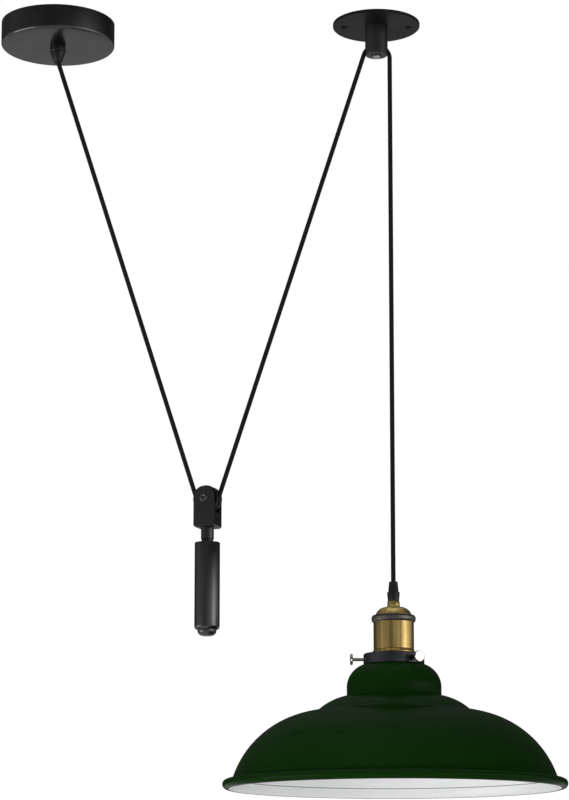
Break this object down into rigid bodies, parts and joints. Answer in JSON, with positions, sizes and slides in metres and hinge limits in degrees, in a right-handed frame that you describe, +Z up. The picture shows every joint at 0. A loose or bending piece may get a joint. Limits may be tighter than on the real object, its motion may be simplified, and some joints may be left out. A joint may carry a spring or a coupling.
{
  "type": "rise and fall pendant",
  "caption": "Rise and fall pendant: ceiling rose, hook, counterweight on a pulley wheel, and brass holder with a wide green enamel shade on a black flex.",
  "frame": {"origin": "centre of the ceiling rose's two screw holes, on the ceiling plane", "axes": "+Z up, +X from the rose to the hook, the viewer on the -Y side"},
  "size_m": [0.588, 0.35, 0.8124],
  "materials": {
    "satin_black": "satin",
    "black_plastic": "satin",
    "black_screw": "satin",
    "zinc_steel": "satin",
    "nickel": "polished",
    "plain_brass": "satin",
    "antique_brass": "satin",
    "pewter": "satin",
    "white_ceramic": "gloss",
    "white_nylon": "matte",
    "green_enamel": "gloss",
    "black_flex": "matte"
  },
  "bodies": {
    "root": {"mounting_strap": "zinc_steel", "strap_nuts": "zinc_steel", "rose_nipple": "zinc_steel", "rose_cup": "satin_black", "terminal_block": "white_nylon", "terminal_screws": "plain_brass", "earth_screw": "nickel", "rose_grip_collar": "black_plastic", "rose_grip_cone": "black_plastic", "hook_plate": "satin_black", "plate_screw": "zinc_steel", "hook_boss": "satin_black", "cord_rose_tail": "black_flex", "cord_left_leg": "black_flex", "cord_right_leg": "black_flex", "cord_hook_arch": "black_flex", "cord_lamp_leg": "black_flex"},
    "lock_screw": {"cord_lock_screw": "nickel"},
    "counterweight": {"weight_bracket": "satin_black", "wheel_washers": "white_nylon", "axle_screw": "black_screw", "axle_nut": "black_screw", "weight_neck": "satin_black", "weight_rod": "zinc_steel", "weight_body": "satin_black", "weight_end_cap": "satin_black", "cord_wheel_arc": "black_flex"},
    "wheel": {"pulley_wheel": "satin_black", "wheel_bush": "plain_brass"},
    "lamp": {"lamp_grip_cone": "black_plastic", "lamp_grip_collar": "black_plastic", "cap_nipple": "zinc_steel", "brass_cap": "antique_brass", "knurled_ring": "pewter", "holder_shell": "antique_brass", "holder_insert": "white_ceramic", "contact_terminals": "plain_brass", "screw_shell": "plain_brass", "centre_contact": "plain_brass", "gallery_ring": "pewter", "gallery_nut": "pewter", "shade": "green_enamel", "cord_lamp_tail": "black_flex"},
    "front_thumbscrew": {"thumbscrew_1": "nickel"},
    "back_thumbscrew": {"thumbscrew_2": "nickel"},
    "left_thumbscrew": {"thumbscrew_3": "nickel"}
  },
  "joints": [
    {"name": "lamp_travel", "type": "slide", "parent": "root", "child": "lamp", "axis": [0, 0, 1], "range_m": [-0.4, 0.09], "deforming": ["cord_lamp_leg"]},
    {"name": "weight_travel", "type": "slide", "parent": "root", "child": "counterweight", "axis": [0, 0, 1], "range_m": [-0.05, 0.219], "deforming": ["cord_left_leg", "cord_right_leg"]},
    {"name": "wheel_spin", "type": "hinge", "parent": "counterweight", "child": "wheel", "pos_m": [0.1618, 0, -0.514], "axis": [-0.342, -0.9397, 0], "continuous": true},
    {"name": "lock_screw_travel", "type": "slide", "parent": "root", "child": "lock_screw", "axis": [0, 0, -1], "range_m": [0, 0.004]},
    {"name": "front_thumbscrew_travel", "type": "slide", "parent": "lamp", "child": "front_thumbscrew", "axis": [0.5534, -0.8329, 0], "range_m": [0, 0.0025]},
    {"name": "back_thumbscrew_travel", "type": "slide", "parent": "lamp", "child": "back_thumbscrew", "axis": [0.4446, 0.8957, 0], "range_m": [0, 0.0025]},
    {"name": "left_thumbscrew_travel", "type": "slide", "parent": "lamp", "child": "left_thumbscrew", "axis": [-0.998, -0.0628, 0], "range_m": [0, 0.0025]}
  ],
  "couplings": [
    {"joint": "weight_travel", "follows": "lamp_travel", "ratio": -0.545},
    {"joint": "wheel_spin", "follows": "lamp_travel", "rad_per_m": -44.64}
  ]
}
